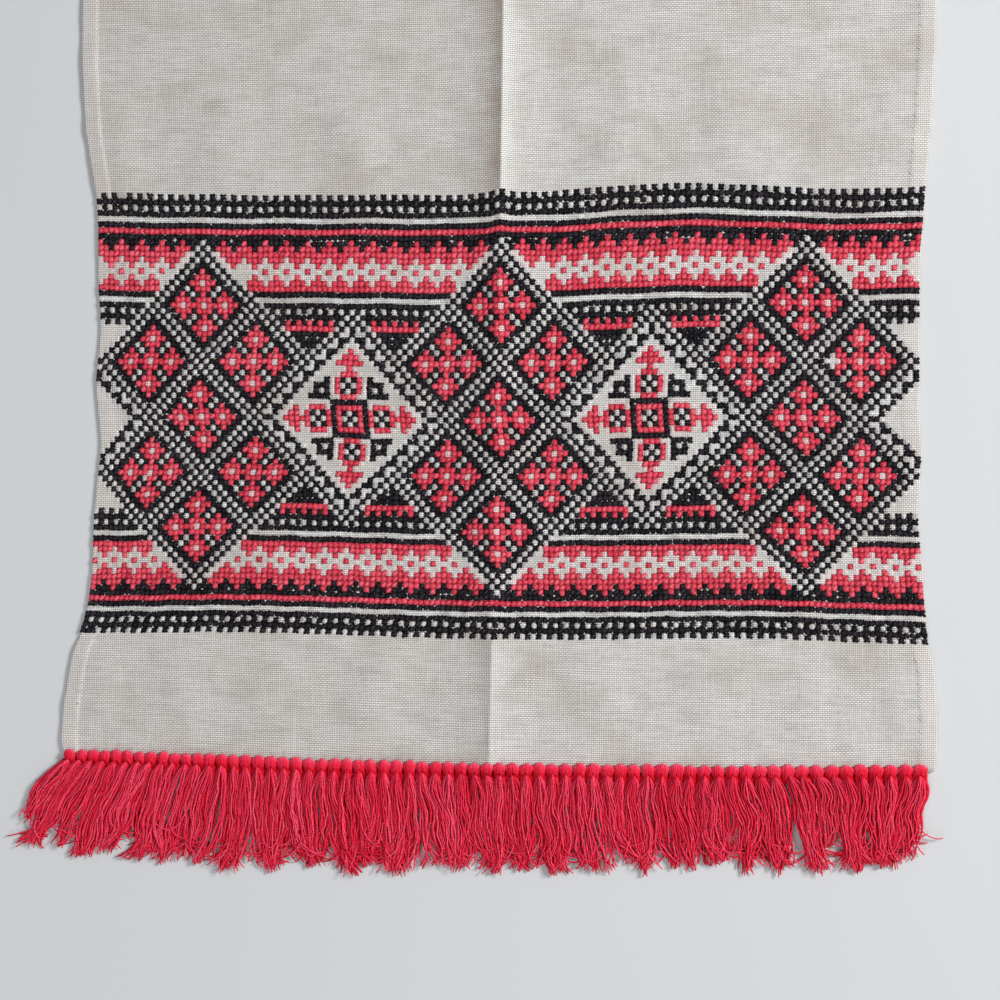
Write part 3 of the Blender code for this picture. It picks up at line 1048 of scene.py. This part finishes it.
def hem_stitches():
    rng = np.random.default_rng(HEM_SEED)
    steps = np.linspace(-1, 1, 5)
    arch = SEAM_ARCH * (1 - steps ** 2) - SEAM_SUNK
    paths = []

    def add(x, y):
        paths.append(np.stack([x, y, cloth_top(x, y) + arch], 1))

    rows = np.arange(END_ROW_Y + 4, FAR_END_Y - END_HEM_WIDTH, SEAM_PITCH)
    rows = rows[np.abs(rows) > BAND_HALF_LENGTH + 2]
    for y0 in rows + rng.uniform(-0.6, 0.6, len(rows)):
        for edge, ahead in ((left_edge, 1), (right_edge, -1)):
            x0 = float(edge(y0)) + ahead * (SIDE_HEM_WIDTH + rng.uniform(-0.3, 0.2))
            slant = rng.uniform(*SEAM_SLANT)
            add(x0 + ahead * steps * SEAM_REACH, y0 + steps * slant)
    y0 = FAR_END_Y - END_HEM_WIDTH
    for x0 in np.arange(float(left_edge(y0)) + 8, float(right_edge(y0)) - 8, SEAM_PITCH):
        add(x0 + steps * rng.uniform(*SEAM_SLANT), y0 - steps * SEAM_REACH)
    radii = np.full((len(paths), len(steps)), SEAM_RADIUS)
    points, faces = tubes(np.array(paths), radii, SEAM_SIDES)
    plain = np.zeros(len(points))
    looks = {"weave": points, "tone": plain, "red_fuzz_and_bounce": plain}
    return make_object("hem_stitches", points, faces, LINEN_RELIEF, looks)


# The fringe

def tubes(paths, radii, sides):
    """Round yarns along many paths of equally many points."""
    count, length, _ = paths.shape
    ways = np.gradient(paths, axis=1)
    ways /= np.linalg.norm(ways, axis=2, keepdims=True)
    side = np.tile([1.0, 0.0, 0.0], (count, 1))
    rings = np.empty((count, length, sides, 3))
    angles = np.arange(sides) * TURN / sides
    for k in range(length):
        way = ways[:, k]
        side = side - (side * way).sum(1, keepdims=True) * way
        side /= np.linalg.norm(side, axis=1, keepdims=True)
        up = np.cross(side, way)
        for a, angle in enumerate(angles):
            arm = side * math.cos(angle) + up * math.sin(angle)
            rings[:, k, a] = paths[:, k] + arm * radii[:, k, None]
    return rings.reshape(-1, 3), tube_faces(count, length, sides)


def knot_edges():
    """Where one knot ends and the next begins, across the fringed end, as on the solid."""
    pick = random.Random(FRINGE_SEED)
    edges = [FIRST_KNOT_X - FIRST_PITCH / 2]
    for k in range(KNOTS):
        pitch = FIRST_PITCH + (LAST_PITCH - FIRST_PITCH) * k / (KNOTS - 1)
        edges.append(edges[-1] + pitch + pick.uniform(-PITCH_STRAY, PITCH_STRAY))
    return np.array(edges)


# One strand of a knot's head: over the cloth's end, then down one side of the tassel
HEAD_STRANDS = (-1.0, -0.72, -0.42, -0.14, 0.14, 0.42, 0.72, 1.0)
HEAD_PATH = [
    # y past the cloth's end, x share, x aside, z, outer strands' loss of y and of z, tone (a
    # painted highlight at the crown, painted shade down the legs)
    (2.7, 1.60, 0.00, 0.8, 1.0, 0.0, 1.1),
    (2.7, 1.90, 0.00, 2.1, 1.0, 0.2, 1.1),
    (2.0, 2.02, 0.00, 2.9, 0.8, 0.5, 0.5),
    (0.9, 2.00, 0.00, 3.2, 0.3, 0.8, 0.0),
    (-0.3, 1.74, 0.10, 3.0, 0.0, 0.9, -0.15),
    (-1.4, 1.20, 0.50, 2.3, 0.0, 0.8, -0.45),
    (-2.4, 0.90, 0.80, 1.5, 0.0, 0.4, -0.8),
    (-3.6, 0.80, 1.00, 0.9, 0.0, 0.0, -1.1),
    (-5.0, 0.80, 1.10, 0.6, 0.0, 0.0, -1.2),
]
HEAD_TILT, HEAD_ASIDE = 0.16, 0.2
HEAD_STRETCH, HEAD_BREADTH = (0.84, 1.06), (0.96, 1.08)
HEAD_YARNS, HEAD_TONES = (0.92, 1.08), (0.15, 0.60)
HEAD_SIDES = 6
HEAD_SEED = 11


def fringe_heads(edges):
    rng = np.random.default_rng(HEAD_SEED)
    y, share, spread, z, lose_y, lose_z, painted_light_and_shade = np.array(HEAD_PATH).T
    paths, radii = [], []
    for low, high in zip(edges, edges[1:]):
        x0, size = (low + high) / 2, (high - low) / SHAPE_PITCH
        end = float(end_edge(x0))
        rest = float(lift(x0, end)) * np.clip((y + 4) / 6, 0, 1)
        tilt = rng.uniform(-HEAD_TILT, HEAD_TILT)
        stretch = rng.uniform(*HEAD_STRETCH)
        breadth = rng.uniform(*HEAD_BREADTH)
        middle = x0 + rng.uniform(-HEAD_ASIDE, HEAD_ASIDE)
        for s in HEAD_STRANDS:
            outer = s * s
            along = y * stretch - lose_y * outer
            across = size * breadth * (s * share + math.copysign(1, s) * spread)
            x = middle + across + tilt * along
            paths.append(np.stack([x, end + along, z - lose_z * outer + rest], 1))
            radii.append(np.full(len(y), HEAD_YARN_RADIUS * rng.uniform(*HEAD_YARNS)))
    points, faces = tubes(np.array(paths), np.array(radii), HEAD_SIDES)
    tone = np.repeat(rng.uniform(*HEAD_TONES, (len(paths), 1)) + painted_light_and_shade, HEAD_SIDES)
    return make_object("fringe_heads", points, faces, YARN, {"tone": tone})


# A tassel along its length
TASSEL = [
    # share of the length, half width, z of the top yarns
    (0.00, 0.40, 2.2),
    (0.04, 0.90, 3.0),
    (0.08, 1.60, 3.3),
    (0.13, 2.40, 3.2),
    (0.25, 3.20, 2.9),
    (0.60, 3.50, 2.4),
    (1.00, 3.20, 1.6),
]
tassel_width = curve_reader(TASSEL, 1)
tassel_top = curve_reader(TASSEL, 2)
YARN_POINTS = 25
LAYERS = 3
STRANDS = 4
TIP_GATHER = 0.78
TIP_ROUNDING = 2.6
LOCK_OF_KNOT = np.array([row for row in LOCKS for _ in range(row[0], row[1] + 1)])

# The lowest layer backs each tassel: thicker yarns, spread wider and bent less
UNDER_BULK, UNDER_SPREAD, UNDER_FAN, UNDER_BEND = 1.9, 2.1, 1.25, 0.3
LAYER_DEPTH = 0.62
# Painted shade: the lower layers of yarn are darker, lying under the top ones
PAINTED_LAYER_SHADE = np.array([0.0, 0.2, 0.7])
TASSEL_BENDS = [
    # whole tassels or else strands, waves along them, size
    (True, 0.8, 2.2),
    (True, 1.6, 1.7),
    (False, 1.2, 1.3),
    (False, 2.6, 0.6),
]
PHASE_STEP = 1.1
CRIMPS = ((3.1, 0.30), (5.2, 0.20), (8.0, 0.13))
YARN_SIDES = 3


class Picks:
    """Random numbers for a run of tassels: one for each tassel, each strand or each yarn."""

    def __init__(self, knots, seed):
        self.rng = np.random.default_rng(seed)
        self.knots, self.count = knots, knots * YARNS_PER_KNOT
        self.knot = np.repeat(np.arange(knots), YARNS_PER_KNOT)
        self.order = np.tile(np.arange(YARNS_PER_KNOT), knots)
        self.strand = self.knot * STRANDS + self.order * STRANDS // YARNS_PER_KNOT
        self.layer = self.order % LAYERS
        self.under = (self.layer == LAYERS - 1)[:, None]

    def for_knots(self, low, high):
        return self.rng.uniform(low, high, self.knots)[self.knot][:, None]

    def for_strands(self, low, high):
        return self.rng.uniform(low, high, self.knots * STRANDS)[self.strand][:, None]

    def for_yarns(self, low, high):
        return self.rng.uniform(low, high, self.count)[:, None]


def tassel_bends(p, t):
    """How far yarns bend aside with their tassel, much as the next one does, and their strand."""
    bend = np.zeros((p.count, YARN_POINTS))
    for whole, waves, size in TASSEL_BENDS:
        picked = p.for_knots if whole else p.for_strands
        phase = picked(0, TURN)
        reach = size
        if whole:
            phase = np.cumsum(p.rng.uniform(-PHASE_STEP, PHASE_STEP, p.knots))[p.knot][:, None]
        else:
            reach = size * np.where(p.under, UNDER_BEND, 1)
        reach = reach * (0.3 + picked(0, 1) ** 2)
        rise = np.sin(TURN * waves * picked(0.8, 1.25) * t + phase) - np.sin(phase)
        bend += reach * rise * t ** 0.6 * (1 - 0.6 * t)
    return bend


def yarn_crimp(p, t):
    """Each yarn's own small waves."""
    crimp = p.for_yarns(-0.5, 0.5) * t ** 1.6
    for waves, size in CRIMPS:
        beat = TURN * waves * p.for_yarns(0.75, 1.3) * t + p.for_yarns(0, TURN)
        crimp += p.for_yarns(0.3, 1.0) * size * np.sin(beat) * np.minimum(1, t * 4)
    return crimp


def tip_curl(p, share):
    """How far each tip turns sideways, in radians: mostly toward the middle of its lock."""
    curl = 0.4 * p.for_knots(-1, 1) ** 3
    curl = curl + 1.5 * p.for_strands(-1, 1) ** 5
    curl = curl + 2.1 * p.for_yarns(-1, 1) ** 5
    curl -= 0.9 * (2 * share - 1) * p.for_yarns(0.2, 1.0)
    return np.where(curl < 0, -1, 1) * (np.abs(curl) + 0.05)


def fringe_yarns(name, edges, first_knot, seed):
    """The tassels' yarns, gathered into locks: they bend and crimp, and their tips curl aside."""
    p = Picks(len(edges) - 1, seed)
    spot = 2 * (p.order + 0.5 + p.rng.uniform(-0.8, 0.8, p.count)) / YARNS_PER_KNOT - 1
    t = np.linspace(0, 1, YARN_POINTS)[None, :] ** 0.9
    x0 = ((edges[:-1] + edges[1:]) / 2)[p.knot]
    size = ((edges[1:] - edges[:-1]) / SHAPE_PITCH)[p.knot]
    first, last, tips_low, tips_high, tips_y, early = LOCK_OF_KNOT[p.knot + first_knot].T
    share = (p.knot + first_knot - first + 0.5 + 0.5 * spot) / (last - first + 1)
    share = np.clip(share + p.rng.normal(0, 0.07, p.count), -0.05, 1.05)
    tip_x = tips_low + (tips_high - tips_low) * (0.5 + TIP_GATHER * (share - 0.5))
    start = end_edge(x0) - TASSEL_START
    x0, size, spot, share, tip_x, early = [
        values[:, None] for values in (x0, size, spot, share, tip_x, early)
    ]
    lean = tip_x - x0
    drawn = t ** (np.clip(2.2 - np.abs(lean) / 9, 0.75, 1.7) * (1 - 0.55 * early))
    bend = tassel_bends(p, t)
    width = tassel_width(t)
    fan = spot * size * np.where(p.under, UNDER_FAN * np.maximum(width, UNDER_SPREAD), width)
    fan *= 1 - 0.75 * t ** (3 - 2.2 * early)
    crimp = yarn_crimp(p, t)
    uneven = p.rng.normal(0, 0.9, p.knots * STRANDS)[p.strand] + p.rng.normal(0, 0.7, p.count)
    length = (start - tips_y + uneven)[:, None] - TIP_ROUNDING * (2 * share - 1) ** 2
    curl = tip_curl(p, share)
    free = p.for_yarns(0.18, 0.42)
    turned = np.clip(1 - (1 - t) / free, 0, 1)
    reach = 1.25 * length * free
    x = x0 + lean * drawn + bend + fan + crimp + reach / curl * (1 - np.cos(curl * turned))
    y = start[:, None] - length * t - reach * (np.sin(curl * turned) / curl - turned)
    depth = p.layer[:, None] * LAYER_DEPTH + p.for_yarns(-0.15, 0.15)
    ripple = 0.35 * np.sin(TURN * 2.3 * p.for_yarns(0.7, 1.3) * t + p.for_yarns(0, TURN))
    round_off = 1 - 0.45 * spot ** 2 * np.clip(1.2 - t, 0, 1)
    radii = YARN_RADIUS * p.for_yarns(0.85, 1.15) * (1 - 0.3 * np.clip((t - 0.95) / 0.05, 0, 1))
    radii *= np.where(p.under, UNDER_BULK, 1) ** (1 - t ** 3)
    stacked = (p.for_knots(-0.2, 0.7) + p.for_strands(-0.3, 0.5)) * t
    z = tassel_top(t) * round_off - depth * (1 - 0.3 * t) + ripple * t + stacked
    z = np.maximum(radii + 0.05, z)
    points, faces = tubes(np.stack([x, y, z], -1), radii, YARN_SIDES)
    # Each yarn's random tone, less the painted shade of its layer
    tone = np.clip(p.rng.random(p.count) + 0.2, 0, 1) - PAINTED_LAYER_SHADE[p.layer]
    tone = np.repeat(tone, YARN_POINTS * YARN_SIDES)
    return make_object(name, points, faces, YARN, {"tone": tone})


STRAY_POINTS, STRAY_SIDES = 20, 5
STRAY_BULK, STRAY_TONE = 0.85, 0.9
STRAY_SEED = 41


def stray_yarns(edges):
    """A few yarns that fall across their neighbours in loops."""
    rng = np.random.default_rng(STRAY_SEED)
    t = np.linspace(0, 1, STRAY_POINTS)
    paths = []
    for _ in range(STRAYS):
        k = rng.integers(2, KNOTS - 2)
        x0 = (edges[k] + edges[k + 1]) / 2 + rng.uniform(-1.5, 1.5)
        reach = rng.choice((-1, 1)) * rng.uniform(4, 9)
        fall = rng.uniform(0.5, 0.85) * STRAY_FALL
        back = rng.uniform(0.05, 0.3) * STRAY_FALL
        lean = (LOCK_OF_KNOT[k, 2] + LOCK_OF_KNOT[k, 3]) / 2 - x0
        wave = 0.5 * np.sin(TURN * 1.6 * t + rng.uniform(0, 6))
        x = x0 + 0.7 * lean * t + reach * ease((t - 0.25) / 0.75) + wave
        dip = fall * np.sin(t * math.pi * 0.58) - back * ease((t - 0.6) / 0.4)
        z = 2.9 - 0.3 * t + 0.15 * np.sin(TURN * 3 * t)
        paths.append(np.stack([x, float(end_edge(x0)) - 6 - dip, z], 1))
    radii = np.full((STRAYS, STRAY_POINTS), YARN_RADIUS * STRAY_BULK)
    points, faces = tubes(np.array(paths), radii, STRAY_SIDES)
    tone = np.full(len(points), STRAY_TONE)
    return make_object("fringe_strays", points, faces, YARN, {"tone": tone})


LEFT_SEED, RIGHT_SEED = 21, 22


def fringe():
    edges = knot_edges()
    middle = KNOTS // 2
    return [
        fringe_heads(edges),
        fringe_yarns("fringe_yarns_left", edges[:middle + 1], 0, LEFT_SEED),
        fringe_yarns("fringe_yarns_right", edges[middle:], middle, RIGHT_SEED),
        stray_yarns(edges),
    ]


# The towel's pieces

cloth = linen_cloth()
ground = relief()
hems = hem_stitches()
stitching = cross_stitch()
tassels = fringe()

for piece in (cloth, ground, hems, *stitching, *tassels):
    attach(piece, "root")
for piece in tassels:
    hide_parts("knotted_fringe")
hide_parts("linen_cloth")


# The floor, the light and the camera

FLOOR_REACH = 4.0
FLOOR_LOW = -0.0002


def floor():
    mesh = bpy.data.meshes.new("studio_floor")
    signs = ((-1, -1), (1, -1), (1, 1), (-1, 1))
    corners = [(a * FLOOR_REACH, b * FLOOR_REACH, FLOOR_LOW) for a, b in signs]
    mesh.from_pydata(corners, [], [(0, 1, 2, 3)])
    n = Nodes("pale_floor", 0.9)
    place = n.add("ShaderNodeTexCoord").outputs["Object"]
    colour = n.mix(n.noise(place, 3.0), (0.60, 0.61, 0.62, 1), (0.64, 0.65, 0.66, 1))
    mesh.materials.append(n.finish(colour))
    return placed("studio_floor", mesh)


def lamp(name, place, target, size, watts, colour):
    data = bpy.data.lights.new(name, "AREA")
    data.shape = "DISK"
    data.size = size
    data.energy = watts
    data.color = colour
    made = placed(name, data)
    made.location = place
    made.rotation_euler = (Vector(target) - Vector(place)).to_track_quat("-Z", "Y").to_euler()


floor()
band = (PLAN_X, PLAN_Y, 0)
lamp("key", (PLAN_X + 1.5, PLAN_Y + 0.5, 1.15), band, 0.6, 37, (1.0, 0.99, 0.975))
lamp("fill", (PLAN_X - 0.5, PLAN_Y - 1.3, 1.3), band, 1.6, 11, (0.95, 0.97, 1.0))

SKY_COLOUR = (0.93, 0.96, 1.0, 1)
SKY_STRENGTH = 0.35
world = bpy.data.worlds.new("studio")
world.use_nodes = True
sky = world.node_tree.nodes["Background"]
sky.inputs["Color"].default_value = SKY_COLOUR
sky.inputs["Strength"].default_value = SKY_STRENGTH
bpy.context.scene.world = world
bpy.context.scene.view_settings.view_transform = "Standard"

# The camera: its place in the plan, in mm, its turns in degrees, and its focal length in pixels
CAMERA_PLACE = (72.6, -69.7, 722.9)
CAMERA_TURN = (2.87, 5.60, 0.71)
FRAME_PIXELS = 1000
FOCAL_PIXELS = 1800
SENSOR_WIDTH = 36

camera_data = bpy.data.cameras.new("camera")
camera_data.sensor_width = SENSOR_WIDTH
camera_data.lens = SENSOR_WIDTH * FOCAL_PIXELS / FRAME_PIXELS
camera = placed("camera", camera_data)
camera.location = to_model(CAMERA_PLACE)
camera.rotation_euler = [math.radians(a) for a in CAMERA_TURN]
bpy.context.scene.camera = camera
